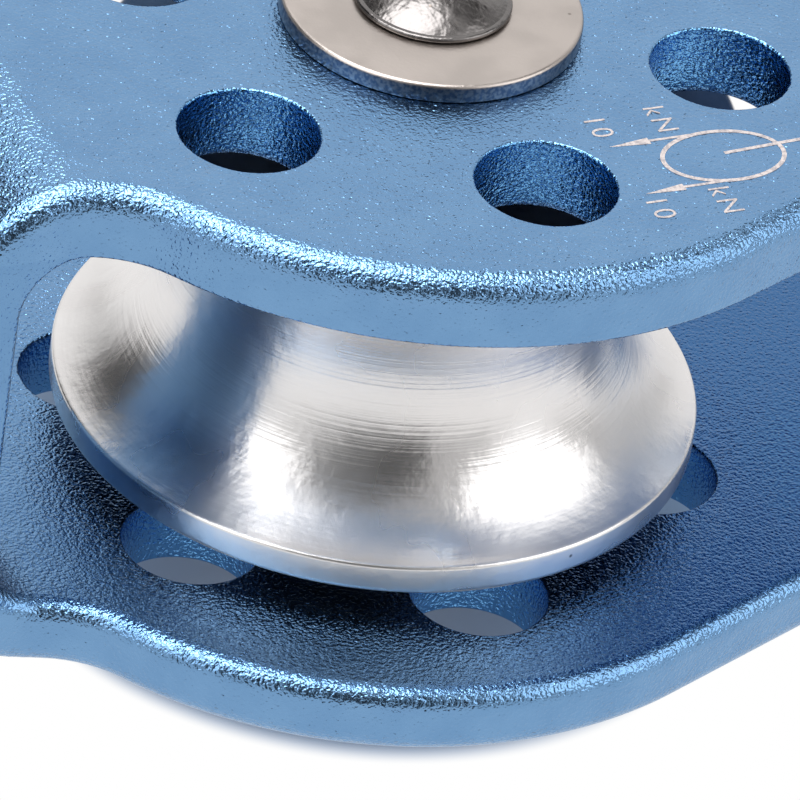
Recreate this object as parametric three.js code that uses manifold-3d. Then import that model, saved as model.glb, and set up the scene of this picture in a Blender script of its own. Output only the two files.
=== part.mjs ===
// Rope pulley with a fixed body: one thick plate bent into a U, a grooved sheave on two shielded
// ball bearings, and a shouldered steel axle riveted over a washer on each side.
// Millimetres. +Z runs along the axle, +X from the folded end to the connector eye.
// The origin is the middle of the flat outer face of the lower axle head.

import * as THREE from 'three';
import { mergeVertices } from 'three/addons/utils/BufferGeometryUtils.js';
import Module from 'manifold-3d';

// ---- driving dimensions -------------------------------------------------------------------

// body
const PLATE = 4.0; // plate thickness
const INNER_GAP = 22.0; // between the two side plates
const CHEEK_R = 23.6; // round part of each side plate, about the axle
const WEB_INSIDE_X = -26.0; // inner face of the fold
const WEB_HALF_WIDTH = 11.0; // half the fold's width
const BEND_INSIDE_R = 3.5; // inside radius of both bends
const SHOULDER_R = 6.0; // hollow curve from the fold to the round cheek
const TAPER_ANGLE = THREE.MathUtils.degToRad(22); // straight side, cheek to eye
const EYE_X = 37.0; // connector eye, from the axle
const EYE_R = 8.0;
const EYE_LOBE_R = 13.0; // outer radius round the eye
const NECK_R = 18.0; // hollow curve from the taper to the eye
const LIGHTENING_HOLES = 6; // in each plate
const LIGHTENING_PITCH_R = 15.2;
const LIGHTENING_R = 3.65;

// axle and washers
const AXLE_R = 4.0; // between the plates
const TENON_R = 3.0; // through the plates
const HEAD_R = 4.15;
const HEAD_HEIGHT = 1.5; // flat lower head
const DOME_HEIGHT = 1.6; // riveted upper head
const HEAD_CHAMFER = 0.5;
const WASHER_R = 7.9;
const WASHER_THICKNESS = 1.0;
const WASHER_CHAMFER = 0.15;
const THRUST_R = 6.2; // spacer washers inside the plates

// sheave
const SHEAVE_R = 17.25;
const SHEAVE_HALF_WIDTH = 9.4;
const GROOVE_ROOT_R = 12.0;
const GROOVE_LIP_R = 17.0;
const GROOVE_HALF_WIDTH = 7.55;
const LIP_BEVEL = 0.25;
const RIM_CHAMFER = 0.5;
const CORE_R = 7.0; // bore between the two bearings

// ball bearings, 8 x 16 x 5
const BEARING_BORE_R = 4.0;
const BEARING_R = 8.0;
const BEARING_WIDTH = 5.0;
const BEARING_INNER_FACE = 3.85; // from the middle of the sheave
const BALLS = 9;
const BALL_R = 1.19;
const BALL_PITCH_R = 6.0;
const RACE_R = 1.29;
const SHOULDER_GAP = 0.7; // race shoulders, from the pitch circle
const SHIELD_SEAT_R = 7.25;
const SHIELD_SEAT_DEPTH = 0.5;
const SHIELD_THICKNESS = 0.3;
const SHIELD_BORE_R = 5.4;
const CAGE_HALF_THICKNESS = 0.5;
const CAGE_HALF_HEIGHT = 1.75;
const CAGE_POCKET_R = 1.33;

// clearances and resolution
const RUNNING_GAP = 0.06; // round one on the other
const FACE_GAP = 0.05; // face to face
const ROUND_STEPS = 30;
const SHEAVE_STEPS = 40;
const ARC_STEPS = 6; // small curves of the outline
const GROOVE_STEPS = 10;
const RACE_STEPS = 4;
const BORE_STEPS = 20;

// heights from the middle plane
const PLATE_INNER_Z = INNER_GAP / 2;
const PLATE_OUTER_Z = PLATE_INNER_Z + PLATE;
const WASHER_LOW_Z = PLATE_OUTER_Z + FACE_GAP;
const WASHER_HIGH_Z = WASHER_LOW_Z + WASHER_THICKNESS;
const HEAD_Z = WASHER_HIGH_Z + FACE_GAP;
const MIDDLE_Z = HEAD_Z + HEAD_HEIGHT; // middle plane, from the origin

// ---- finishes -----------------------------------------------------------------------------

const finish = (color, roughness, metalness) =>
  new THREE.MeshStandardMaterial({ color, roughness, metalness });
const BLUE_ANODISED = finish(0x6f9ccb, 0.42, 0.85);
const TURNED_ALUMINIUM = finish(0xc9c6c4, 0.25, 1.0);
const SATIN_STEEL = finish(0xb9b2aa, 0.38, 1.0);
const POLISHED_STEEL = finish(0xc4c2bf, 0.18, 1.0);
const BEARING_STEEL = finish(0xa9abad, 0.22, 1.0);
const CAGE_STEEL = finish(0x8d8f92, 0.35, 1.0);

// ---- solids -------------------------------------------------------------------------------

const wasm = await Module();
wasm.setup();

function toSolid(geometry) {
  const bare = geometry.clone();
  bare.deleteAttribute('normal');
  bare.deleteAttribute('uv');
  const merged = mergeVertices(bare, 1e-4);
  return new wasm.Manifold(new wasm.Mesh({
    numProp: 3,
    vertProperties: merged.attributes.position.array,
    triVerts: new Uint32Array(merged.index.array),
  }));
}

function toGeometry(solid) {
  const { vertProperties, triVerts } = solid.getMesh();
  const geometry = new THREE.BufferGeometry();
  geometry.setAttribute('position', new THREE.BufferAttribute(vertProperties, 3));
  geometry.setIndex(new THREE.BufferAttribute(triVerts, 1));
  geometry.computeVertexNormals();
  return geometry;
}

// A closed [radius, height] outline, counter-clockwise, turned about Z.
function turned(outline, steps = ROUND_STEPS) {
  const points = outline.map(([radius, height]) => new THREE.Vector2(radius, height));
  const onAxis = outline[0][0] === 0 && outline.at(-1)[0] === 0;
  if (!onAxis) points.push(points[0].clone());
  return new THREE.LatheGeometry(points, steps).rotateX(Math.PI / 2);
}

const ring = (innerR, outerR, low, high, steps) =>
  turned([[innerR, low], [outerR, low], [outerR, high], [innerR, high]], steps);

const cylinder = (radius, height, steps = BORE_STEPS) =>
  new THREE.CylinderGeometry(radius, radius, height, steps).rotateX(Math.PI / 2);

// ---- body ---------------------------------------------------------------------------------

// Points of an arc about [cx, cy], both ends included.
function arc(cx, cy, radius, from, to, steps = ARC_STEPS) {
  return Array.from({ length: steps + 1 }, (_, i) => {
    const angle = from + (to - from) * i / steps;
    return new THREE.Vector2(cx + radius * Math.cos(angle), cy + radius * Math.sin(angle));
  });
}

// Half of the side plate's outline, from the fold to the far end of the eye, on the -Y side.
function halfOutline() {
  const shoulderY = -(WEB_HALF_WIDTH + SHOULDER_R);
  const shoulderX = -Math.sqrt((CHEEK_R + SHOULDER_R) ** 2 - shoulderY ** 2);
  const cheekStart = Math.atan2(shoulderY, shoulderX) + 2 * Math.PI;
  const cheekEnd = 1.5 * Math.PI + TAPER_ANGLE;

  // centre of the neck curve: NECK_R outside the straight side and outside the eye's lobe
  const out = new THREE.Vector2(Math.cos(cheekEnd), Math.sin(cheekEnd));
  const along = new THREE.Vector2(-out.y, out.x);
  const start = out.clone().multiplyScalar(CHEEK_R + NECK_R);
  const eye = new THREE.Vector2(EYE_X, 0);
  const offset = start.clone().sub(eye);
  const half = offset.dot(along);
  const span = EYE_LOBE_R + NECK_R;
  const travel = -half - Math.sqrt(half ** 2 - offset.lengthSq() + span ** 2);
  const neck = start.addScaledVector(along, travel);
  const lobeAngle = Math.atan2(neck.y, neck.x - EYE_X);

  return [
    new THREE.Vector2(WEB_INSIDE_X - PLATE, -WEB_HALF_WIDTH),
    ...arc(shoulderX, shoulderY, SHOULDER_R, Math.PI / 2, cheekStart - Math.PI),
    ...arc(0, 0, CHEEK_R, cheekStart, cheekEnd, 4 * ARC_STEPS).slice(1),
    ...arc(neck.x, neck.y, NECK_R, cheekEnd - Math.PI, lobeAngle + Math.PI),
    ...arc(EYE_X, 0, EYE_LOBE_R, lobeAngle, 0, 2 * ARC_STEPS).slice(1),
  ];
}

function outlinePrism(height) {
  const lower = halfOutline();
  const upper = lower.slice(0, -1).reverse().map(({ x, y }) => new THREE.Vector2(x, -y));
  const shape = new THREE.Shape([...lower, ...upper]);
  const geometry = new THREE.ExtrudeGeometry(shape, { depth: height, bevelEnabled: false });
  return geometry.translate(0, 0, -height / 2);
}

// A bar along Y with its two -X corners rounded, open-ended past the eye.
function foldedBar(leftX, halfHeight, cornerR) {
  const rightX = EYE_X + 2 * EYE_LOBE_R;
  const centreX = leftX + cornerR;
  const centreZ = halfHeight - cornerR;
  const shape = new THREE.Shape([
    new THREE.Vector2(rightX, -halfHeight),
    new THREE.Vector2(rightX, halfHeight),
    ...arc(centreX, centreZ, cornerR, Math.PI / 2, Math.PI),
    ...arc(centreX, -centreZ, cornerR, Math.PI, 1.5 * Math.PI),
  ]);
  const depth = 4 * CHEEK_R;
  const geometry = new THREE.ExtrudeGeometry(shape, { depth, bevelEnabled: false });
  return geometry.translate(0, 0, -depth / 2).rotateX(Math.PI / 2);
}

function sidePlates() {
  const outerR = BEND_INSIDE_R + PLATE;
  let body = toSolid(outlinePrism(2 * PLATE_OUTER_Z))
    .intersect(toSolid(foldedBar(WEB_INSIDE_X - PLATE, PLATE_OUTER_Z, outerR)))
    .subtract(toSolid(foldedBar(WEB_INSIDE_X, PLATE_INNER_Z, BEND_INSIDE_R)));
  const drill = (radius, x, y, steps) =>
    toSolid(cylinder(radius, 3 * PLATE_OUTER_Z, steps).translate(x, y, 0));
  body = body.subtract(drill(TENON_R + RUNNING_GAP, 0, 0, ROUND_STEPS));
  body = body.subtract(drill(EYE_R, EYE_X, 0, ROUND_STEPS));
  for (let i = 0; i < LIGHTENING_HOLES; i += 1) {
    const angle = (i + 0.5) * 2 * Math.PI / LIGHTENING_HOLES;
    const x = LIGHTENING_PITCH_R * Math.cos(angle);
    const y = LIGHTENING_PITCH_R * Math.sin(angle);
    body = body.subtract(drill(LIGHTENING_R, x, y));
  }
  return toGeometry(body);
}

// ---- axle and washers -----------------------------------------------------------------------

function axle() {
  const shoulder = PLATE_INNER_Z - FACE_GAP;
  const dome = Array.from({ length: ARC_STEPS }, (_, i) => {
    const angle = (i + 1) / ARC_STEPS * Math.PI / 2;
    return [HEAD_R * Math.cos(angle), HEAD_Z + DOME_HEIGHT * Math.sin(angle)];
  });
  dome[dome.length - 1][0] = 0;
  return turned([
    [0, -MIDDLE_Z],
    [HEAD_R - HEAD_CHAMFER, -MIDDLE_Z],
    [HEAD_R, -MIDDLE_Z + HEAD_CHAMFER],
    [HEAD_R, -HEAD_Z],
    [TENON_R, -HEAD_Z],
    [TENON_R, -shoulder],
    [AXLE_R, -shoulder],
    [AXLE_R, shoulder],
    [TENON_R, shoulder],
    [TENON_R, HEAD_Z],
    [HEAD_R, HEAD_Z],
    ...dome,
  ]);
}

const outerWasher = () => turned([
  [TENON_R + RUNNING_GAP, WASHER_LOW_Z],
  [WASHER_R, WASHER_LOW_Z],
  [WASHER_R, WASHER_HIGH_Z - WASHER_CHAMFER],
  [WASHER_R - WASHER_CHAMFER, WASHER_HIGH_Z],
  [TENON_R + RUNNING_GAP, WASHER_HIGH_Z],
]);

const BEARING_OUTER_FACE = BEARING_INNER_FACE + BEARING_WIDTH;
const BEARING_MIDDLE = BEARING_INNER_FACE + BEARING_WIDTH / 2;

const thrustWasher = () => ring(
  AXLE_R + RUNNING_GAP, THRUST_R,
  BEARING_OUTER_FACE + FACE_GAP, PLATE_INNER_Z - FACE_GAP,
);

const bearingSpacer = () => ring(
  AXLE_R + RUNNING_GAP, AXLE_R + 1.0,
  -(BEARING_INNER_FACE - FACE_GAP), BEARING_INNER_FACE - FACE_GAP,
);

// ---- sheave -------------------------------------------------------------------------------

function sheave() {
  // the groove is one arc through the root and both lips
  const depth = GROOVE_LIP_R - GROOVE_ROOT_R;
  const grooveR = (depth ** 2 + GROOVE_HALF_WIDTH ** 2) / (2 * depth);
  const centreR = GROOVE_ROOT_R + grooveR;
  const sweep = Math.asin(GROOVE_HALF_WIDTH / grooveR);
  const groove = Array.from({ length: GROOVE_STEPS + 1 }, (_, i) => {
    const angle = -sweep + 2 * sweep * i / GROOVE_STEPS;
    return [centreR - grooveR * Math.cos(angle), grooveR * Math.sin(angle)];
  });
  const seatR = BEARING_R + FACE_GAP;
  const step = BEARING_INNER_FACE - FACE_GAP;
  return turned([
    [seatR, -SHEAVE_HALF_WIDTH],
    [SHEAVE_R - RIM_CHAMFER, -SHEAVE_HALF_WIDTH],
    [SHEAVE_R, -SHEAVE_HALF_WIDTH + RIM_CHAMFER],
    [SHEAVE_R, -GROOVE_HALF_WIDTH - LIP_BEVEL],
    ...groove,
    [SHEAVE_R, GROOVE_HALF_WIDTH + LIP_BEVEL],
    [SHEAVE_R, SHEAVE_HALF_WIDTH - RIM_CHAMFER],
    [SHEAVE_R - RIM_CHAMFER, SHEAVE_HALF_WIDTH],
    [seatR, SHEAVE_HALF_WIDTH],
    [seatR, step],
    [CORE_R, step],
    [CORE_R, -step],
    [seatR, -step],
  ], SHEAVE_STEPS);
}

// ---- bearings, about their own middle -------------------------------------------------------

// The race's curve on one ring; side is -1 on the inner ring and +1 on the outer one.
function race(side) {
  const sweep = Math.acos(SHOULDER_GAP / RACE_R);
  return Array.from({ length: RACE_STEPS + 1 }, (_, i) => {
    const angle = -sweep + 2 * sweep * i / RACE_STEPS;
    return [BALL_PITCH_R + side * RACE_R * Math.cos(angle), RACE_R * Math.sin(angle)];
  });
}

function innerRing() {
  const bore = BEARING_BORE_R + RUNNING_GAP;
  const shoulder = BALL_PITCH_R - SHOULDER_GAP;
  const half = BEARING_WIDTH / 2;
  return turned([
    [bore, -half], [shoulder, -half],
    ...race(-1),
    [shoulder, half], [bore, half],
  ]);
}

function outerRing() {
  const shoulder = BALL_PITCH_R + SHOULDER_GAP;
  const half = BEARING_WIDTH / 2;
  const seat = half - SHIELD_SEAT_DEPTH;
  return turned([
    [SHIELD_SEAT_R, -half], [BEARING_R, -half], [BEARING_R, half], [SHIELD_SEAT_R, half],
    [SHIELD_SEAT_R, seat], [shoulder, seat],
    ...race(1).reverse(),
    [shoulder, -seat], [SHIELD_SEAT_R, -seat],
  ]);
}

// side is +1 for the upper shield of a bearing and -1 for the lower one
function shield(side) {
  const near = BEARING_WIDTH / 2 - SHIELD_SEAT_DEPTH + FACE_GAP;
  const low = side > 0 ? near : -near - SHIELD_THICKNESS;
  return ring(SHIELD_BORE_R, SHIELD_SEAT_R - FACE_GAP, low, low + SHIELD_THICKNESS);
}

const ballAngle = (i) => i * 2 * Math.PI / BALLS;

function cage() {
  let solid = toSolid(ring(
    BALL_PITCH_R - CAGE_HALF_THICKNESS, BALL_PITCH_R + CAGE_HALF_THICKNESS,
    -CAGE_HALF_HEIGHT, CAGE_HALF_HEIGHT,
  ));
  for (let i = 0; i < BALLS; i += 1) {
    const pocket = new THREE.CylinderGeometry(
      CAGE_POCKET_R, CAGE_POCKET_R, 4 * CAGE_HALF_THICKNESS, BORE_STEPS / 2,
    );
    pocket.rotateZ(Math.PI / 2).translate(BALL_PITCH_R, 0, 0).rotateZ(ballAngle(i));
    solid = solid.subtract(toSolid(pocket));
  }
  return toGeometry(solid);
}

// ---- assembly -----------------------------------------------------------------------------

const pulley = new THREE.Group();
pulley.position.z = MIDDLE_Z;

function add(parent, name, geometry, material) {
  const mesh = new THREE.Mesh(geometry, material);
  mesh.name = name;
  parent.add(mesh);
  return mesh;
}

// the same piece above and below the middle plane
function addPair(name, geometry, material) {
  add(pulley, `upper_${name}`, geometry, material);
  add(pulley, `lower_${name}`, geometry, material).rotation.x = Math.PI;
}

function addBearing(level, middleZ) {
  const bearing = new THREE.Group();
  bearing.position.z = middleZ;
  pulley.add(bearing);
  add(bearing, `${level}_bearing_inner_ring`, innerRing(), BEARING_STEEL);
  add(bearing, `${level}_bearing_outer_ring`, outerRing(), BEARING_STEEL);
  add(bearing, `${level}_bearing_top_shield`, shield(1), CAGE_STEEL);
  add(bearing, `${level}_bearing_bottom_shield`, shield(-1), CAGE_STEEL);
  add(bearing, `${level}_bearing_cage`, cage(), CAGE_STEEL);
  for (let i = 0; i < BALLS; i += 1) {
    const ball = new THREE.IcosahedronGeometry(BALL_R, 1);
    const mesh = add(bearing, `${level}_bearing_ball_${i + 1}`, ball, BEARING_STEEL);
    const angle = ballAngle(i);
    mesh.position.set(BALL_PITCH_R * Math.cos(angle), BALL_PITCH_R * Math.sin(angle), 0);
  }
}

add(pulley, 'side_plate_body', sidePlates(), BLUE_ANODISED);
add(pulley, 'sheave', sheave(), TURNED_ALUMINIUM);
add(pulley, 'axle', axle(), POLISHED_STEEL);
addPair('outer_washer', outerWasher(), SATIN_STEEL);
addPair('thrust_washer', thrustWasher(), SATIN_STEEL);
add(pulley, 'bearing_spacer', bearingSpacer(), SATIN_STEEL);
addBearing('upper', BEARING_MIDDLE);
addBearing('lower', -BEARING_MIDDLE);

export default pulley;
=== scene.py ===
"""Finished look of the rope pulley: bead-blasted blue body folded from one plate, turned
sheave, riveted steel axle on two washers, and the load diagram marked on the upper plate.
Metres. +Z runs along the axle, +X from the fold to the connector eye."""

from math import atan2, cos, degrees, hypot, pi, radians, sin, sqrt

import bpy
from mathutils import Matrix, Vector


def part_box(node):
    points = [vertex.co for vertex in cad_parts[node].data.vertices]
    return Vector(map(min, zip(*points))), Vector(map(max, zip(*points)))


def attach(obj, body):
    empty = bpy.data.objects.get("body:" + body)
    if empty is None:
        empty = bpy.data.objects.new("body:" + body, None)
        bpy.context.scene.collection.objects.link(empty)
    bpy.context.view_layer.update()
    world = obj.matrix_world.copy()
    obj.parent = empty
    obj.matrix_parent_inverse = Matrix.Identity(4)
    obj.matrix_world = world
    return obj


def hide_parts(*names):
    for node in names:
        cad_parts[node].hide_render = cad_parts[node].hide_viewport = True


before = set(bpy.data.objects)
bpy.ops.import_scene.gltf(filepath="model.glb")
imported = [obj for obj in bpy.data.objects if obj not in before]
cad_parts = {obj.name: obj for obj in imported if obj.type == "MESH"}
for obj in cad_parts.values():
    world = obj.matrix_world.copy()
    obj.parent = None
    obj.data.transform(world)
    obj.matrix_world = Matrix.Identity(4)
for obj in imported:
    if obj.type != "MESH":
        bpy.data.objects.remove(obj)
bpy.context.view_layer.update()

MM = 0.001

# ---- sizes of the frame ------------------------------------------------------------------

body_low, body_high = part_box("side_plate_body")

MIDDLE = (body_low.z + body_high.z) / 2
OUTER_Z = body_high.z - MIDDLE
PLATE = 4.0 * MM
INNER_Z = OUTER_Z - PLATE
CHEEK_R = body_high.y
WEB_OUTER_X = body_low.x
WEB_HALF_WIDTH = 11.0 * MM
BEND_OUTER_R = 7.5 * MM
SHOULDER_R = 6.0 * MM
TAPER = radians(22)
EYE_X = 37.0 * MM
EYE_R = 8.0 * MM
EYE_LOBE_R = 13.0 * MM
NECK_R = 18.0 * MM
HOLES = 6
HOLE_PITCH_R = 15.2 * MM
HOLE_R = 3.65 * MM
TENON_R = 3.06 * MM

OUTER_EDGE_R = 1.4 * MM
UPPER_INNER_EDGE_R = 0.3 * MM
LOWER_INNER_EDGE_R = 1.1 * MM
HOLE_EDGE_R = 0.16 * MM
TOUCHING = 0.02 * MM


# ---- modelling helpers -------------------------------------------------------------------


def leave_alone():
    if bpy.context.object and bpy.context.object.mode == "EDIT":
        bpy.ops.object.mode_set(mode="OBJECT")
    bpy.ops.object.select_all(action="DESELECT")


def work_on(piece):
    leave_alone()
    piece.select_set(True)
    bpy.context.view_layer.objects.active = piece


def apply_modifier(piece, kind, **settings):
    work_on(piece)
    bpy.ops.object.modifier_add(type=kind)
    modifier = piece.modifiers[-1]
    for key, value in settings.items():
        setattr(modifier, key, value)
    bpy.ops.object.modifier_apply(modifier=modifier.name)


def first_point(name, place):
    """A new mesh that is one selected point, left open in edit mode."""
    leave_alone()
    bpy.ops.mesh.primitive_plane_add(size=MM, location=(0, 0, 0))
    piece = bpy.context.object
    piece.name = name
    bpy.ops.object.mode_set(mode="EDIT")
    bpy.ops.mesh.select_mode(type="VERT")
    bpy.ops.mesh.merge(type="CENTER")
    bpy.ops.transform.translate(value=place)
    return piece


def draw_on(place, target):
    """Draws a straight line from the selected point, and says where it now is."""
    step = Vector(target) - Vector(place)
    bpy.ops.mesh.extrude_region_move(TRANSFORM_OT_translate={"value": step})
    return target


def sweep_on(place, centre, angle, steps, axis):
    """Draws an arc from the selected point about an axis through centre."""
    bpy.ops.mesh.spin(steps=steps, angle=-angle, center=centre, axis=axis)
    turn = Matrix.Rotation(angle, 3, axis)
    return turn @ (Vector(place) - Vector(centre)) + Vector(centre)


def turned(name, start, moves, turns=128, smooth=30):
    """A closed profile of (radius, height) moves, spun about the axle.
    A move is (radius, height) or (centre radius, centre height, degrees, steps)."""
    across = Vector((0, 1, 0))
    place = Vector((start[0] * MM, 0, MIDDLE + start[1] * MM))
    piece = first_point(name, place)
    for move in moves:
        if len(move) == 2:
            target = Vector((move[0] * MM, 0, MIDDLE + move[1] * MM))
            place = draw_on(place, target)
        else:
            centre = Vector((move[0] * MM, 0, MIDDLE + move[1] * MM))
            place = sweep_on(place, centre, -radians(move[2]), move[3], across)
    bpy.ops.mesh.select_all(action="SELECT")
    bpy.ops.mesh.remove_doubles(threshold=0.0005 * MM)
    bpy.ops.mesh.spin(
        steps=turns, angle=2 * pi, center=(0, 0, MIDDLE), axis=(0, 0, 1)
    )
    bpy.ops.mesh.select_all(action="SELECT")
    bpy.ops.mesh.remove_doubles(threshold=0.0005 * MM)
    bpy.ops.mesh.normals_make_consistent(inside=False)
    work_on(piece)
    bpy.ops.object.shade_smooth_by_angle(angle=radians(smooth))
    return piece


def select_edges(piece, wanted):
    """Selects the edges of the open mesh that wanted(edge ends, the two faces) picks."""
    bpy.ops.mesh.select_all(action="DESELECT")
    bpy.ops.object.mode_set(mode="OBJECT")
    mesh = piece.data
    beside = {}
    for face in mesh.polygons:
        for key in face.edge_keys:
            beside.setdefault(key, []).append(face.normal.copy())
    for edge in mesh.edges:
        ends = [mesh.vertices[i].co.copy() for i in edge.vertices]
        edge.select = wanted(ends, beside.get(edge.key, []))
    bpy.ops.object.mode_set(mode="EDIT")
    bpy.ops.mesh.select_mode(type="EDGE")


def sharp(normals):
    return len(normals) == 2 and normals[0].angle(normals[1], 0) > radians(50)


def cut(piece, cutter, operation="DIFFERENCE"):
    apply_modifier(
        piece, "BOOLEAN", object=cutter, operation=operation, solver="EXACT"
    )
    bpy.data.objects.remove(cutter)


# ---- body --------------------------------------------------------------------------------


def folded_bar(left_x, half_height, corner_r):
    """A bar along Y whose two -X corners are rounded, for the outside and the inside."""
    right_x = EYE_X + 2 * EYE_LOBE_R
    size = Vector((right_x - left_x, 4 * CHEEK_R, 2 * half_height))
    leave_alone()
    bpy.ops.mesh.primitive_cube_add(size=1, location=(0, 0, 0))
    bar = bpy.context.object
    bpy.ops.object.mode_set(mode="EDIT")
    bpy.ops.transform.resize(value=size)
    bpy.ops.transform.translate(value=((left_x + right_x) / 2, 0, MIDDLE))
    select_edges(
        bar,
        lambda ends, _: all(abs(p.x - left_x) < 0.01 * MM for p in ends)
        and abs(ends[0].z - ends[1].z) < 0.01 * MM,
    )
    bpy.ops.mesh.bevel(offset=corner_r, segments=14)
    leave_alone()
    return bar


def drill(x, y, radius, around=96):
    leave_alone()
    bpy.ops.mesh.primitive_cylinder_add(
        vertices=around, radius=radius, depth=3 * OUTER_Z, location=(x, y, MIDDLE)
    )
    return bpy.context.object


def side_plate_outline():
    """The outline of both side plates, as one face at mid height."""
    z = MIDDLE
    up = Vector((0, 0, 1))
    shoulder_y = -(WEB_HALF_WIDTH + SHOULDER_R)
    shoulder_x = -sqrt((CHEEK_R + SHOULDER_R) ** 2 - shoulder_y**2)
    cheek_start = atan2(shoulder_y, shoulder_x) + 2 * pi
    cheek_end = 1.5 * pi + TAPER
    out = Vector((cos(cheek_end), sin(cheek_end)))
    along = Vector((-out.y, out.x))
    start = out * (CHEEK_R + NECK_R)
    offset = start - Vector((EYE_X, 0))
    half = offset.dot(along)
    travel = -half - sqrt(half**2 - offset.length_squared + (EYE_LOBE_R + NECK_R) ** 2)
    neck = start + along * travel
    lobe_start = atan2(neck.y, neck.x - EYE_X)

    place = Vector((WEB_OUTER_X, 0, z))
    body = first_point("pulley_body", place)
    place = draw_on(place, Vector((WEB_OUTER_X, -WEB_HALF_WIDTH, z)))
    place = draw_on(place, Vector((shoulder_x, -WEB_HALF_WIDTH, z)))
    shoulder = Vector((shoulder_x, shoulder_y, z))
    turn = cheek_start - pi - pi / 2
    place = sweep_on(place, shoulder, turn, 10, up)
    cheek_turn = cheek_end - cheek_start
    place = sweep_on(place, Vector((0, 0, z)), cheek_turn, 72, up)
    neck_start = Vector((neck.x, neck.y)) - out * NECK_R
    place = draw_on(place, Vector((neck_start.x, neck_start.y, z)))
    neck_turn = (lobe_start + pi) - (cheek_end - pi)
    neck_turn = (neck_turn + pi) % (2 * pi) - pi
    place = sweep_on(place, Vector((neck.x, neck.y, z)), neck_turn, 24, up)
    place = sweep_on(place, Vector((EYE_X, 0, z)), -lobe_start, 48, up)
    bpy.ops.mesh.select_all(action="SELECT")
    bpy.ops.mesh.remove_doubles(threshold=0.001 * MM)
    apply_modifier(
        body, "MIRROR", use_axis=(False, True, False), merge_threshold=0.01 * MM
    )
    bpy.ops.object.mode_set(mode="EDIT")
    bpy.ops.mesh.select_all(action="SELECT")
    bpy.ops.mesh.edge_face_add()
    bpy.ops.transform.translate(value=(0, 0, -OUTER_Z))
    bpy.ops.mesh.extrude_region_move(
        TRANSFORM_OT_translate={"value": (0, 0, 2 * OUTER_Z)}
    )
    bpy.ops.mesh.select_all(action="SELECT")
    bpy.ops.mesh.normals_make_consistent(inside=False)
    leave_alone()
    return body


def on_outside(point):
    """Is the point on the body's outer skin?"""
    height = abs(point.z - MIDDLE)
    middle_x = WEB_OUTER_X + BEND_OUTER_R
    middle_z = OUTER_Z - BEND_OUTER_R
    from_bend = hypot(point.x - middle_x, height - middle_z)
    in_bend = point.x < middle_x and height > middle_z
    return (
        height > OUTER_Z - TOUCHING
        or point.x < WEB_OUTER_X + TOUCHING
        or (in_bend and abs(from_bend - BEND_OUTER_R) < 0.05 * MM)
    )


def on_inside(point):
    """Is the point on the body's inner skin?"""
    height = abs(point.z - MIDDLE)
    middle_x = WEB_OUTER_X + BEND_OUTER_R
    middle_z = OUTER_Z - BEND_OUTER_R
    from_bend = hypot(point.x - middle_x, height - middle_z)
    in_bend = point.x < middle_x and height > middle_z
    if in_bend:
        return abs(from_bend - (BEND_OUTER_R - PLATE)) < 0.05 * MM
    return abs(height - INNER_Z) < TOUCHING or (
        height < INNER_Z and abs(point.x - WEB_OUTER_X - PLATE) < TOUCHING
    )


def hole_places():
    """Centre and radius of every hole: the axle's, the eye's, then the lightening holes."""
    yield 0.0, 0.0, TENON_R
    yield EYE_X, 0.0, EYE_R
    for i in range(HOLES):
        angle = (i + 0.5) * 2 * pi / HOLES
        yield HOLE_PITCH_R * cos(angle), HOLE_PITCH_R * sin(angle), HOLE_R


def on_hole(point):
    return any(
        abs(hypot(point.x - x, point.y - y) - r) < TOUCHING
        for x, y, r in hole_places()
    )


def make_body():
    """The folded plate: outline, fold and holes are cut first, then its edges rounded.
    The flats are split through the hole centres, so that no face has a hole in it."""
    body = side_plate_outline()
    work_on(body)
    bpy.ops.object.mode_set(mode="EDIT")
    for x in sorted({round(x, 6) for x, _, _ in hole_places()}):
        bpy.ops.mesh.select_all(action="SELECT")
        bpy.ops.mesh.bisect(plane_co=(x, 0, 0), plane_no=(1, 0, 0))
    leave_alone()
    cut(body, folded_bar(WEB_OUTER_X, OUTER_Z, BEND_OUTER_R), "INTERSECT")
    cut(body, folded_bar(WEB_OUTER_X + PLATE, INNER_Z, BEND_OUTER_R - PLATE))
    for x, y, radius in hole_places():
        cut(body, drill(x, y, radius))
    work_on(body)
    bpy.ops.object.mode_set(mode="EDIT")
    bpy.ops.mesh.select_all(action="SELECT")
    bpy.ops.mesh.remove_doubles(threshold=0.06 * MM)
    for side in (-1, 1):
        bpy.ops.mesh.select_all(action="SELECT")
        bend_z = MIDDLE + side * (OUTER_Z - BEND_OUTER_R)
        bpy.ops.mesh.bisect(plane_co=(0, 0, bend_z), plane_no=(0, 0, 1))
    select_edges(
        body,
        lambda ends, sides: sharp(sides)
        and all(on_outside(p) for p in ends)
        and not all(on_hole(p) for p in ends),
    )
    bpy.ops.mesh.bevel(offset=OUTER_EDGE_R, segments=7, loop_slide=False)
    for inner_r, below in ((LOWER_INNER_EDGE_R, True), (UPPER_INNER_EDGE_R, False)):
        select_edges(
            body,
            lambda ends, sides: sharp(sides)
            and all(on_inside(p) for p in ends)
            and not all(on_hole(p) for p in ends)
            and ((ends[0].z + ends[1].z) / 2 < MIDDLE - 7 * MM) == below,
        )
        bpy.ops.mesh.bevel(offset=inner_r, segments=5, loop_slide=False)
    select_edges(
        body, lambda ends, sides: sharp(sides) and all(on_hole(p) for p in ends)
    )
    bpy.ops.mesh.bevel(offset=HOLE_EDGE_R, segments=3, loop_slide=False)
    bpy.ops.mesh.select_all(action="SELECT")
    bpy.ops.mesh.dissolve_degenerate(threshold=0.002 * MM)
    bpy.ops.mesh.select_all(action="SELECT")
    bpy.ops.mesh.quads_convert_to_tris(quad_method="BEAUTY", ngon_method="BEAUTY")
    work_on(body)
    bpy.ops.object.shade_smooth_by_angle(angle=radians(40))
    apply_modifier(body, "WEIGHTED_NORMAL", keep_sharp=True, weight=100)
    return body


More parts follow.
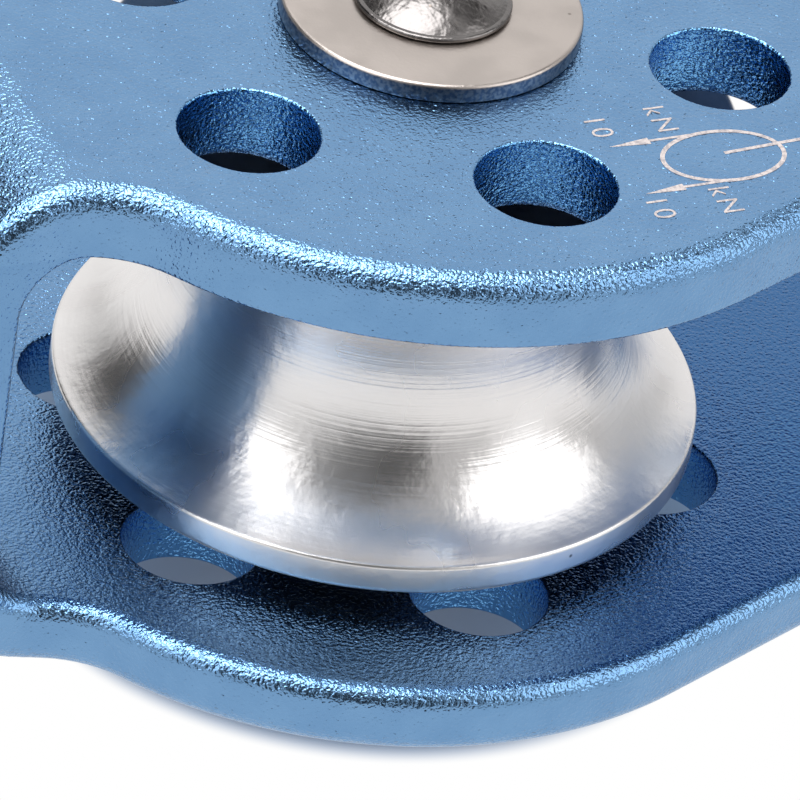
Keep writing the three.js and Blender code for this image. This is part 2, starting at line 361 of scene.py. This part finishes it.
# ---- round parts -------------------------------------------------------------------------

WASHER_R = 7.9
THRUST_R = 6.2
SLEEVE_R = 5.0
BORE_R = 3.06
HEAD_R = 4.15
SEAT_R = 8.05
SEAT_Z = 3.8
CORE_R = 7.0
PITCH_R = 6.0
RACE_R = 1.29
BEARING_HALF = 2.5
BEARING_Z = 6.35
BEARING_R = 8.0
BEARING_BORE_R = 4.06
LAND = 0.7
SHIELD_INNER_R, SHIELD_OUTER_R = 5.4, 7.2


def heights(node):
    """Lowest and highest millimetre of a frame node, from the middle plane."""
    low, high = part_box(node)
    return (low.z - MIDDLE) / MM, (high.z - MIDDLE) / MM


def make_sheave():
    half = heights("sheave")[1]
    rim_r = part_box("sheave")[1].x / MM
    root_r, lip_r, lip_z = 12.0, 17.0, 7.55
    depth = lip_r - root_r
    groove_r = (depth**2 + lip_z**2) / (2 * depth)
    centre_r = root_r + groove_r
    sweep = degrees(atan2(lip_z, centre_r - lip_r))
    corner, bevel = 0.45, 0.25
    lip_turn = 55
    lip_end_r = rim_r - bevel + bevel * cos(radians(lip_turn))
    lip_rise = bevel * sin(radians(lip_turn))
    return turned(
        "turned_sheave",
        (SEAT_R, -half),
        [
            (rim_r - corner, -half),
            (rim_r - corner, -half + corner, 90, 8),
            (rim_r, -lip_z - bevel),
            (rim_r - bevel, -lip_z - bevel, lip_turn, 5),
            (lip_r, -lip_z),
            (centre_r, 0, -2 * sweep, 64),
            (lip_end_r, lip_z + bevel - lip_rise),
            (rim_r - bevel, lip_z + bevel, lip_turn, 5),
            (rim_r, half - corner),
            (rim_r - corner, half - corner, 90, 8),
            (SEAT_R, half),
            (SEAT_R, SEAT_Z),
            (CORE_R, SEAT_Z),
            (CORE_R, -SEAT_Z),
            (SEAT_R, -SEAT_Z),
            (SEAT_R, -half),
        ],
        turns=240,
    )


def make_outer_washer():
    """A stamped washer: sharp below, its upper edge rolled over."""
    low, high = heights("upper_outer_washer")
    roll, burr = 0.24, 0.08
    return turned(
        "riveted_washer_upper",
        (BORE_R, low),
        [
            (WASHER_R - burr, low),
            (WASHER_R - burr, low + burr, 90, 4),
            (WASHER_R, high - roll),
            (WASHER_R - roll, high - roll, 90, 6),
            (BORE_R, high),
            (BORE_R, low),
        ],
        turns=180,
    )


def make_axle():
    """Shouldered axle: flat rounded head below, hammered dome with a thin lip above."""
    low, high = heights("axle")
    washer_top = heights("upper_outer_washer")[1] + 0.05
    shoulder = 10.95
    tenon_r, journal_r = 3.0, 4.0
    edge = 0.5
    lip = 0.16
    dome_r = HEAD_R - 0.3
    rise = high - washer_top - 2 * lip
    ball_r = (dome_r**2 + rise**2) / (2 * rise)
    turn = degrees(atan2(dome_r, ball_r - rise))
    return turned(
        "riveted_axle",
        (0, low),
        [
            (HEAD_R - edge, low),
            (HEAD_R - edge, low + edge, 90, 8),
            (HEAD_R, -washer_top),
            (tenon_r, -washer_top),
            (tenon_r, -shoulder),
            (journal_r, -shoulder),
            (journal_r, shoulder),
            (tenon_r, shoulder),
            (tenon_r, washer_top),
            (HEAD_R - lip, washer_top),
            (HEAD_R - lip, washer_top + lip, 180, 8),
            (dome_r, washer_top + 2 * lip),
            (0, high - ball_r, turn, 24),
        ],
        turns=128,
    )


def ring(name, inner_r, outer_r, low, high, edge=0.08):
    """A plain turned ring with broken edges."""
    return turned(
        name,
        (inner_r, low),
        [
            (outer_r - edge, low),
            (outer_r - edge, low + edge, 90, 3),
            (outer_r, high - edge),
            (outer_r - edge, high - edge, 90, 3),
            (inner_r, high),
            (inner_r, low),
        ],
        turns=96,
    )


def make_inner_ring():
    bore, shoulder, middle = BEARING_BORE_R, PITCH_R - LAND, BEARING_Z
    sweep = degrees(atan2(sqrt(RACE_R**2 - LAND**2), LAND))
    rise = RACE_R * sin(radians(sweep))
    return turned(
        "inner_ring_upper",
        (bore, middle - BEARING_HALF),
        [
            (shoulder, middle - BEARING_HALF),
            (shoulder, middle - rise),
            (PITCH_R, middle, -2 * sweep, 16),
            (shoulder, middle + BEARING_HALF),
            (bore, middle + BEARING_HALF),
            (bore, middle - BEARING_HALF),
        ],
        turns=96,
    )


def make_outer_ring():
    shoulder, middle, seat_r, seat = PITCH_R + LAND, BEARING_Z, 7.25, BEARING_HALF - 0.5
    sweep = degrees(atan2(sqrt(RACE_R**2 - LAND**2), LAND))
    rise = RACE_R * sin(radians(sweep))
    return turned(
        "outer_ring_upper",
        (seat_r, middle - BEARING_HALF),
        [
            (BEARING_R, middle - BEARING_HALF),
            (BEARING_R, middle + BEARING_HALF),
            (seat_r, middle + BEARING_HALF),
            (seat_r, middle + seat),
            (shoulder, middle + seat),
            (shoulder, middle + rise),
            (PITCH_R, middle, -2 * sweep, 16),
            (shoulder, middle - seat),
            (seat_r, middle - seat),
            (seat_r, middle - BEARING_HALF),
        ],
        turns=96,
    )


def mirror_below(piece, name):
    """The same piece on the other side of the middle plane, with a mesh of its own."""
    work_on(piece)
    bpy.ops.object.duplicate()
    copy = bpy.context.object
    copy.name = name
    bpy.ops.object.mode_set(mode="EDIT")
    bpy.ops.mesh.select_all(action="SELECT")
    bpy.ops.transform.rotate(
        value=pi, orient_axis="X", center_override=(0, 0, MIDDLE)
    )
    leave_alone()
    return copy


# ---- load diagram ------------------------------------------------------------------------

MARK_Z = 32.6
# slightly different thicknesses keep crossing marks from sharing a face
BAR_THICK, ARROW_THICK, MARK_THICK = 0.015, 0.016, 0.02
CAP_HEIGHT = 1.25


def mark_from_points(name, points, thick=MARK_THICK):
    """A thin flat mark whose outline runs through points on the upper plate."""
    place = Vector((points[0][0] * MM, points[0][1] * MM, MARK_Z * MM))
    piece = first_point(name, place)
    for x, y in points[1:]:
        place = draw_on(place, Vector((x * MM, y * MM, MARK_Z * MM)))
    bpy.ops.mesh.select_all(action="SELECT")
    bpy.ops.mesh.edge_face_add()
    bpy.ops.mesh.extrude_region_move(
        TRANSFORM_OT_translate={"value": (0, 0, thick * MM)}
    )
    bpy.ops.mesh.select_all(action="SELECT")
    bpy.ops.mesh.normals_make_consistent(inside=False)
    leave_alone()
    return piece


def make_bar(name, start, end, width):
    """A straight line of the diagram."""
    run = (Vector(end) - Vector(start)).normalized()
    side = Vector((-run.y, run.x)) * width / 2
    start, end = Vector(start), Vector(end)
    corners = [start - side, end - side, end + side, start + side]
    return mark_from_points(name, [(c.x, c.y) for c in corners], BAR_THICK)


def make_arrow(name, tip, base, shaft_end, head_width, shaft_width):
    """A long narrow arrow head with its shaft."""
    run = (Vector(base) - Vector(tip)).normalized()
    side = Vector((-run.y, run.x))
    end_run = (Vector(shaft_end) - Vector(base)).normalized()
    end_side = Vector((-end_run.y, end_run.x))
    corners = [
        Vector(tip),
        Vector(base) - side * head_width / 2,
        Vector(base) - side * shaft_width / 2,
        Vector(shaft_end) - end_side * shaft_width / 2,
        Vector(shaft_end) + end_side * shaft_width / 2,
        Vector(base) + side * shaft_width / 2,
        Vector(base) + side * head_width / 2,
    ]
    return mark_from_points(name, [(c.x, c.y) for c in corners], ARROW_THICK)


def make_oval(name, centre, half_x, half_y, width):
    leave_alone()
    bpy.ops.mesh.primitive_circle_add(
        vertices=144, radius=MM, fill_type="NGON", location=(0, 0, 0)
    )
    piece = bpy.context.object
    piece.name = name
    bpy.ops.object.mode_set(mode="EDIT")
    bpy.ops.mesh.select_all(action="SELECT")
    bpy.ops.transform.resize(value=(half_x, half_y, 1))
    bpy.ops.transform.translate(value=(centre[0] * MM, centre[1] * MM, MARK_Z * MM))
    bpy.ops.mesh.select_mode(type="FACE")
    bpy.ops.mesh.inset(thickness=width * MM)
    bpy.ops.mesh.delete(type="FACE")
    bpy.ops.mesh.select_all(action="SELECT")
    bpy.ops.mesh.extrude_region_move(
        TRANSFORM_OT_translate={"value": (0, 0, MARK_THICK * MM)}
    )
    bpy.ops.mesh.select_all(action="SELECT")
    bpy.ops.mesh.normals_make_consistent(inside=False)
    leave_alone()
    return piece


def make_lettering(name, words, place, height=CAP_HEIGHT):
    """Lettering whose tops face +X, reading toward -Y."""
    leave_alone()
    bpy.ops.object.text_add(location=(0, 0, 0))
    text = bpy.context.object
    text.name = name
    text.data.body = words
    text.data.align_x = "CENTER"
    text.data.align_y = "CENTER"
    text.data.size = height / 0.73 * MM
    text.data.space_character = 1.25
    text.data.offset = -0.012 * MM
    text.data.extrude = MARK_THICK / 2 * MM
    text.data.resolution_u = 6
    bpy.ops.object.convert(target="MESH")
    bpy.ops.object.mode_set(mode="EDIT")
    bpy.ops.mesh.select_all(action="SELECT")
    bpy.ops.mesh.remove_doubles(threshold=0.002 * MM)
    bpy.ops.mesh.normals_make_consistent(inside=False)
    bpy.ops.object.mode_set(mode="OBJECT")
    text.data.transform(Matrix.Rotation(-pi / 2, 4, "Z"))
    text.data.transform(
        Matrix.Translation(
            Vector((place[0], place[1], MARK_Z + MARK_THICK / 2)) * MM
        )
    )
    leave_alone()
    return text


# ---- materials ---------------------------------------------------------------------------


def new_finish(name, **sockets):
    material = bpy.data.materials.new(name)
    material.use_nodes = True
    surface = material.node_tree.nodes["Principled BSDF"]
    for socket, value in sockets.items():
        surface.inputs[socket.replace("_", " ")].default_value = value
    return material.node_tree, surface, material


def add(tree, kind, inputs=None, **settings):
    """A node; inputs are sockets to link or plain values."""
    node = tree.nodes.new("ShaderNode" + kind)
    for key, value in settings.items():
        setattr(node, key, value)
    for key, value in (inputs or {}).items():
        if isinstance(value, bpy.types.NodeSocket):
            tree.links.new(value, node.inputs[key])
        else:
            node.inputs[key].default_value = value
    return node


def placed(tree):
    return add(tree, "TexCoord").outputs["Object"]


def noise(tree, scale, detail=2.0, place=None, **settings):
    place = place or placed(tree)
    made = add(
        tree, "TexNoise", {"Vector": place, "Scale": scale, "Detail": detail}, **settings
    )
    return made.outputs["Fac"]


def math(tree, operation, a, b=0.0, c=0.0, clamp=False):
    made = add(tree, "Math", {0: a, 1: b, 2: c}, operation=operation, use_clamp=clamp)
    return made.outputs[0]


def between(tree, value, low, high, out_low=0.0, out_high=1.0):
    """Maps value from low..high smoothly onto out_low..out_high."""
    made = add(
        tree,
        "MapRange",
        {
            "Value": value,
            "From Min": low,
            "From Max": high,
            "To Min": out_low,
            "To Max": out_high,
        },
        interpolation_type="SMOOTHSTEP",
    )
    return made.outputs["Result"]


def mixed(tree, factor, first, second):
    """Colour mix: first where factor is 0, second where it is 1."""
    node = tree.nodes.new("ShaderNodeMix")
    node.data_type = "RGBA"
    for socket, value in ((0, factor), (6, first), (7, second)):
        if isinstance(value, bpy.types.NodeSocket):
            tree.links.new(value, node.inputs[socket])
        else:
            node.inputs[socket].default_value = value
    return node.outputs[2]


def plan_radius(tree, parts):
    """Distance from the axle, from separated coordinates."""
    plan = add(tree, "CombineXYZ", {"X": parts.outputs["X"], "Y": parts.outputs["Y"]})
    run = add(tree, "VectorMath", {0: plan.outputs["Vector"]}, operation="LENGTH")
    return run.outputs["Value"]


def feed_marks(tree, along, scale, detail):
    made = add(
        tree,
        "TexNoise",
        {"W": along, "Scale": scale, "Detail": detail},
        noise_dimensions="1D",
    )
    return made.outputs["Fac"]


def some_cells(tree, scale, channel, far, near, fewest, most):
    """Small dots, each in the middle of one of the cells that chance picks."""
    cells = add(tree, "TexVoronoi", {"Vector": placed(tree), "Scale": scale})
    split = add(tree, "SeparateColor", {"Color": cells.outputs["Color"]})
    return math(
        tree,
        "MULTIPLY",
        between(tree, cells.outputs["Distance"], far, near),
        between(tree, split.outputs[channel], fewest, most),
    )


def bump(tree, height, depth, strength=1.0, under=None):
    inputs = {"Height": height, "Distance": depth * MM, "Strength": strength}
    if under is not None:
        inputs["Normal"] = under
    return add(tree, "Bump", inputs).outputs["Normal"]


def colour(r, g, b):
    return (r, g, b, 1.0)


BLUE = colour(0.178, 0.338, 0.560)
DEEP_BLUE = colour(0.160, 0.312, 0.530)
PAINTED_SHADE_BLUE = colour(0.055, 0.155, 0.350)
BORE_HIGHLIGHT_BLUE = colour(0.160, 0.410, 0.740)


GROOVE_CENTRE_R = 20.2 * MM
GROOVE_R = 8.2 * MM


def blue_anodised():
    """Dyed oxide over bead-blasted aluminium: fine dimples, calmer on the flats and
    side walls, painted shade on the inner faces toward the eye, glossier in the holes with a
    painted highlight of lighter blue."""
    tree, surface, material = new_finish(
        "bead_blasted_blue", Metallic=1.0, Roughness=0.2
    )
    link = tree.links.new
    dimples = noise(tree, 5200, 1.0)
    broad = noise(tree, 420, 3.0)
    tint = mixed(tree, between(tree, broad, 0.3, 0.7), DEEP_BLUE, BLUE)
    parts = add(tree, "SeparateXYZ", {"Vector": placed(tree)})
    height = math(tree, "ABSOLUTE", math(tree, "SUBTRACT", parts.outputs["Z"], MIDDLE))
    # painted shade: the inner faces are darkened, more strongly toward the eye
    inner = between(tree, height, INNER_Z + 0.25 * MM, INNER_Z + 0.02 * MM)
    toward_eye = between(tree, parts.outputs["X"], -6 * MM, 9 * MM, 0.12, 1.0)
    tint = mixed(tree, math(tree, "MULTIPLY", inner, toward_eye), tint, PAINTED_SHADE_BLUE)
    outer_flat = between(tree, height, OUTER_Z - 0.08 * MM, OUTER_Z - 0.01 * MM)
    rim = between(tree, plan_radius(tree, parts), 19.6 * MM, 20.4 * MM)
    below_edge = between(
        tree, height, OUTER_Z - OUTER_EDGE_R, OUTER_Z - OUTER_EDGE_R - 0.2 * MM
    )
    wall = math(tree, "MULTIPLY", rim, below_edge)
    calm = math(tree, "MULTIPLY_ADD", outer_flat, -0.29, 1.0)
    calm = math(tree, "MULTIPLY_ADD", wall, -0.22, calm)
    off_inner = between(tree, height, INNER_Z + 0.15 * MM, INNER_Z + 0.45 * MM)
    bore = math(tree, "MULTIPLY", math(tree, "SUBTRACT", 1.0, rim), off_inner)
    bore = math(tree, "MULTIPLY", bore, math(tree, "SUBTRACT", 1.0, outer_flat))
    calm = math(tree, "MULTIPLY_ADD", bore, 0.1, calm)
    # painted highlight: the hole walls get a lighter, more saturated blue; their lower
    # roughness below is real gloss
    link(mixed(tree, bore, tint, BORE_HIGHLIGHT_BLUE), surface.inputs["Base Color"])
    roughness = between(tree, dimples, 0.3, 0.7, 0.17, 0.26)
    gloss = math(tree, "MULTIPLY_ADD", bore, -0.5, 1.0)
    link(math(tree, "MULTIPLY", roughness, gloss), surface.inputs["Roughness"])
    relief = math(tree, "MULTIPLY", math(tree, "SUBTRACT", dimples, 0.5), calm)
    hollow = bump(tree, broad, 0.02, 0.6)
    link(bump(tree, relief, 0.10, 1.0, hollow), surface.inputs["Normal"])
    return material


def turned_aluminium():
    """Bare turned aluminium: feed marks round the groove, soft dents, a few pits, and
    painted shade on the side faces."""
    tree, surface, material = new_finish(
        "turned_aluminium", Metallic=1.0, Roughness=0.28, Anisotropic=0.6
    )
    link = tree.links.new
    place = add(
        tree, "Mapping", {"Vector": placed(tree), "Location": (0, 0, -MIDDLE)}
    ).outputs["Vector"]
    parts = add(tree, "SeparateXYZ", {"Vector": place})
    depth = math(tree, "SUBTRACT", GROOVE_CENTRE_R, plan_radius(tree, parts))
    swing = math(tree, "ARCTAN2", parts.outputs["Z"], depth)
    along = math(tree, "MULTIPLY", swing, GROOVE_R)
    feed = feed_marks(tree, along, 4200.0, 2.0)
    coarse = feed_marks(tree, along, 1100.0, 1.0)
    patches = noise(tree, 160, 2.0)
    grain = noise(tree, 5200, 1.0)
    pit = some_cells(tree, 420.0, "Green", 0.07, 0.03, 0.86, 0.9)
    warm = mixed(tree, between(tree, patches, 0.35, 0.65), colour(0.80, 0.775, 0.765),
                 colour(0.87, 0.85, 0.84))
    half = heights("sheave")[1] * MM
    # painted shade: the flat side faces, which sit in shade between the plates, are darkened
    side = between(
        tree, math(tree, "ABSOLUTE", parts.outputs["Z"]), half - 0.12 * MM, half - 0.03 * MM
    )
    warm = mixed(tree, side, warm, colour(0.22, 0.23, 0.26))
    link(mixed(tree, pit, warm, colour(0.12, 0.11, 0.11)), surface.inputs["Base Color"])
    link(between(tree, patches, 0.3, 0.7, 0.25, 0.33), surface.inputs["Roughness"])
    marks = math(tree, "SUBTRACT", math(tree, "MULTIPLY_ADD", coarse, 0.3, feed), 0.65)
    off_root = math(tree, "ABSOLUTE", swing)
    strength = between(tree, off_root, 0.85, 0.4, 0.15, 1.0)
    low = bump(tree, math(tree, "MULTIPLY", marks, strength), 0.022, 1.0)
    dents = noise(tree, 900, 2.0)
    low = bump(tree, dents, 0.03, 1.0, low)
    low = bump(tree, grain, 0.004, 1.0, low)
    link(low, surface.inputs["Normal"])
    round_axle = add(tree, "Tangent", direction_type="RADIAL", axis="Z").outputs["Tangent"]
    link(round_axle, surface.inputs["Tangent"])
    surface.inputs["Anisotropic Rotation"].default_value = 0.25
    return material


def steel(
    name, tone, low_rough, high_rough, grain_scale, grain_depth, specks=0.0, rim_r=None
):
    """Bare steel with a fine grain, slight blotches and, if asked for, a few dark
    specks and painted blue-black shade on the side at rim_r."""
    tree, surface, material = new_finish(name, Metallic=1.0, Roughness=low_rough)
    link = tree.links.new
    blotch = noise(tree, 300, 3.0)
    grain = noise(tree, grain_scale, 2.0)
    dark = colour(*[c * 0.9 for c in tone])
    base = mixed(tree, between(tree, blotch, 0.35, 0.65), dark, colour(*tone))
    if specks:
        dot = some_cells(tree, 900.0, "Red", 0.12, 0.05, 0.85, 0.95)
        speck = math(tree, "MULTIPLY", dot, specks)
        base = mixed(tree, speck, base, colour(0.2, 0.17, 0.15))
    if rim_r:
        parts = add(tree, "SeparateXYZ", {"Vector": placed(tree)})
        radius = plan_radius(tree, parts)
        # painted shade: the side at rim_r is darkened to blue-black, broken up by noise
        side = between(tree, radius, rim_r - 0.04 * MM, rim_r - 0.01 * MM)
        painted_shade_breakup = between(tree, noise(tree, 4800, 1.0), 0.35, 0.65, 0.6, 1.0)
        side = math(tree, "MULTIPLY", side, painted_shade_breakup)
        base = mixed(tree, side, base, colour(0.10, 0.13, 0.19))
    link(base, surface.inputs["Base Color"])
    roughness = between(tree, blotch, 0.3, 0.7, low_rough, high_rough)
    link(roughness, surface.inputs["Roughness"])
    link(bump(tree, grain, grain_depth, 1.0), surface.inputs["Normal"])
    return material


def laser_marking():
    tree, surface, material = new_finish(
        "laser_marking", Metallic=0.0, Roughness=0.7
    )
    link = tree.links.new
    burn = noise(tree, 5200, 2.0)
    link(
        mixed(tree, between(tree, burn, 0.35, 0.6), colour(0.34, 0.31, 0.32),
              colour(0.54, 0.48, 0.465)),
        surface.inputs["Base Color"],
    )
    link(bump(tree, burn, 0.01, 0.7), surface.inputs["Normal"])
    return material


def dress(piece, material):
    piece.data.materials.clear()
    piece.data.materials.append(material)


# ---- assembly ----------------------------------------------------------------------------

blue = blue_anodised()
bright_aluminium = turned_aluminium()
satin = steel("satin_steel", (0.53, 0.475, 0.440), 0.28, 0.38, 3800, 0.012, 0.8,
              WASHER_R * MM)
polished = steel("polished_steel", (0.20, 0.188, 0.184), 0.22, 0.32, 1500, 0.07, 0.8)
bearing = steel("bearing_steel", (0.55, 0.56, 0.57), 0.16, 0.24, 5000, 0.002)
pressed = steel("pressed_steel", (0.42, 0.43, 0.44), 0.3, 0.4, 2400, 0.006)
marking = laser_marking()


def fit(piece, body_name, slot, material, *nodes):
    dress(piece, material)
    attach(piece, body_name)
    if nodes:
        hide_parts(*nodes)


def fit_pair(upper, name, body_name, slot, material, node_upper, node_lower):
    lower = mirror_below(upper, name)
    fit(upper, body_name, slot, material, node_upper)
    fit(lower, body_name, slot, material, node_lower)


fit(make_body(), "frame", "blue_anodised_aluminium", blue, "side_plate_body")
fit(make_sheave(), "sheave", "turned_aluminium", bright_aluminium, "sheave")
fit(make_axle(), "frame", "polished_steel", polished, "axle")
fit_pair(make_outer_washer(), "riveted_washer_lower", "frame", "satin_steel", satin,
         "upper_outer_washer", "lower_outer_washer")
thrust_z = heights("upper_thrust_washer")
fit_pair(ring("spacer_washer_upper", BEARING_BORE_R, THRUST_R, *thrust_z),
         "spacer_washer_lower", "frame", "satin_steel", satin,
         "upper_thrust_washer", "lower_thrust_washer")
sleeve_z = heights("bearing_spacer")
fit(ring("spacer_sleeve", BEARING_BORE_R, SLEEVE_R, *sleeve_z),
    "frame", "satin_steel", satin, "bearing_spacer")
fit_pair(make_inner_ring(), "inner_ring_lower", "frame", "bearing_steel", bearing,
         "upper_bearing_inner_ring", "lower_bearing_inner_ring")
fit_pair(make_outer_ring(), "outer_ring_lower", "sheave", "bearing_steel", bearing,
         "upper_bearing_outer_ring", "lower_bearing_outer_ring")
for place, node in (("outer", "top_shield"), ("inner", "bottom_shield")):
    shield_z = heights("upper_bearing_" + node)
    shield = ring(place + "_shield_upper", SHIELD_INNER_R, SHIELD_OUTER_R, *shield_z)
    fit_pair(shield, place + "_shield_lower", "sheave", "pressed_steel", pressed,
             "upper_bearing_" + node, "lower_bearing_" + node)
for name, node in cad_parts.items():
    if "_cage" in name:
        dress(node, pressed)
    elif "_ball_" in name:
        dress(node, bearing)

oval_centre = (10.0, -14.95)
for mark in (
    make_oval("mark_oval", oval_centre, 3.42, 2.24, 0.24),
    make_arrow("mark_arrow_far", (4.46, -12.98), (6.74, -12.89), (9.6, -12.86), 0.55, 0.17),
    make_arrow("mark_arrow_near", (4.61, -17.22), (6.85, -17.06), (9.7, -17.02), 0.55, 0.17),
    make_bar("mark_centre_line", (10.15, -14.73), (21.0, -14.0), 0.22),
    make_lettering("mark_ten_far", "10", (4.6, -11.16)),
    make_lettering("mark_ten_near", "10", (4.83, -18.48)),
    make_lettering("mark_unit_far", "kN", (8.08, -11.22)),
    make_lettering("mark_unit_near", "kN", (8.44, -18.58)),
):
    fit(mark, "frame", "laser_marking", marking)


# ---- studio ------------------------------------------------------------------------------

leave_alone()
bpy.ops.mesh.primitive_plane_add(size=4, location=(0, 0, 0))
floor = bpy.context.object
floor.name = "studio_floor"
tree, surface, floor_paint = new_finish("floor_paint", Roughness=0.9)
surface.inputs["Base Color"].default_value = colour(0.85, 0.85, 0.85)
surface.inputs["Specular IOR Level"].default_value = 0.0
from_axle = add(tree, "VectorMath", {0: placed(tree)}, operation="LENGTH").outputs["Value"]
# the floor glows evenly, except in the body's own shade round the axle, where a faint bluish
# glow is painted light in that shade
lit = between(tree, from_axle, 19 * MM, 21 * MM, 0.11, 1.0)
tree.links.new(lit, surface.inputs["Emission Strength"])
tree.links.new(
    mixed(tree, lit, colour(0.85, 0.85, 0.85), colour(0.0, 0.0, 0.0)),
    surface.inputs["Base Color"],
)
tree.links.new(
    mixed(tree, lit, colour(0.60, 0.75, 1.0), colour(1.0, 1.0, 1.0)),
    surface.inputs["Emission Color"],
)
dress(floor, floor_paint)

# bright screens and dark flags round the table: direction, half angle in degrees,
# width of its soft edge, brightness; everywhere else has AMBIENT
AMBIENT = 0.5
STUDIO = (
    ((0.38, 0.72, 0.58), 32, 14, 1.0),
    ((-0.24, 0.06, 0.97), 19, 8, 6.5),
    ((-0.81, -0.11, 0.57), 17, 8, 2.3),
    ((0.64, -0.54, 0.54), 19, 8, 2.3),
    ((0.55, 0.15, 0.82), 10, 8, 0.1),
    ((-0.66, 0.60, 0.45), 21, 8, 0.04),
    ((-0.38, -0.75, 0.50), 19, 8, 0.13),
    ((-0.30, -0.90, 0.20), 15, 8, 0.04),
)


def light_studio():
    world = bpy.data.worlds.new("studio")
    bpy.context.scene.world = world
    world.use_nodes = True
    tree = world.node_tree
    background = tree.nodes["Background"]
    toward = add(tree, "TexCoord").outputs["Generated"]
    level = AMBIENT
    for direction, size, soft, brightness in STUDIO:
        aim = Vector(direction).normalized()
        facing = add(
            tree, "VectorMath", {0: toward, 1: aim}, operation="DOT_PRODUCT"
        ).outputs["Value"]
        inside = between(tree, facing, cos(radians(size + soft)), cos(radians(size)))
        change = math(tree, "SUBTRACT", brightness, level)
        level = math(tree, "MULTIPLY_ADD", inside, change, level)
    seen = add(tree, "LightPath").outputs["Is Camera Ray"]
    level = math(tree, "MULTIPLY_ADD", seen, math(tree, "SUBTRACT", 1.0, level), level)
    tree.links.new(level, background.inputs["Strength"])
    background.inputs["Color"].default_value = colour(1.0, 1.0, 1.0)


light_studio()

camera = bpy.data.cameras.new("camera")
view = bpy.data.objects.new("camera", camera)
bpy.context.scene.collection.objects.link(view)
bpy.context.scene.camera = view
azimuth, elevation, roll = radians(-27.971), radians(35.64), radians(8.916)
back = Vector(
    (sin(azimuth) * cos(elevation), -cos(azimuth) * cos(elevation), sin(elevation))
)
level = Vector((cos(azimuth), sin(azimuth), 0))
upright = back.cross(level)
right = cos(roll) * level + sin(roll) * upright
top = -sin(roll) * level + cos(roll) * upright
place = Vector((-4.715 * MM, -12.179 * MM, MIDDLE)) + back * 449.926 * MM
view.matrix_world = Matrix(
    [[right[i], top[i], back[i], place[i]] for i in range(3)] + [[0, 0, 0, 1]]
)
camera.sensor_width = 36
camera.lens = 394.5
camera.clip_start, camera.clip_end = 0.01, 10
bpy.context.scene.view_settings.view_transform = "Standard"
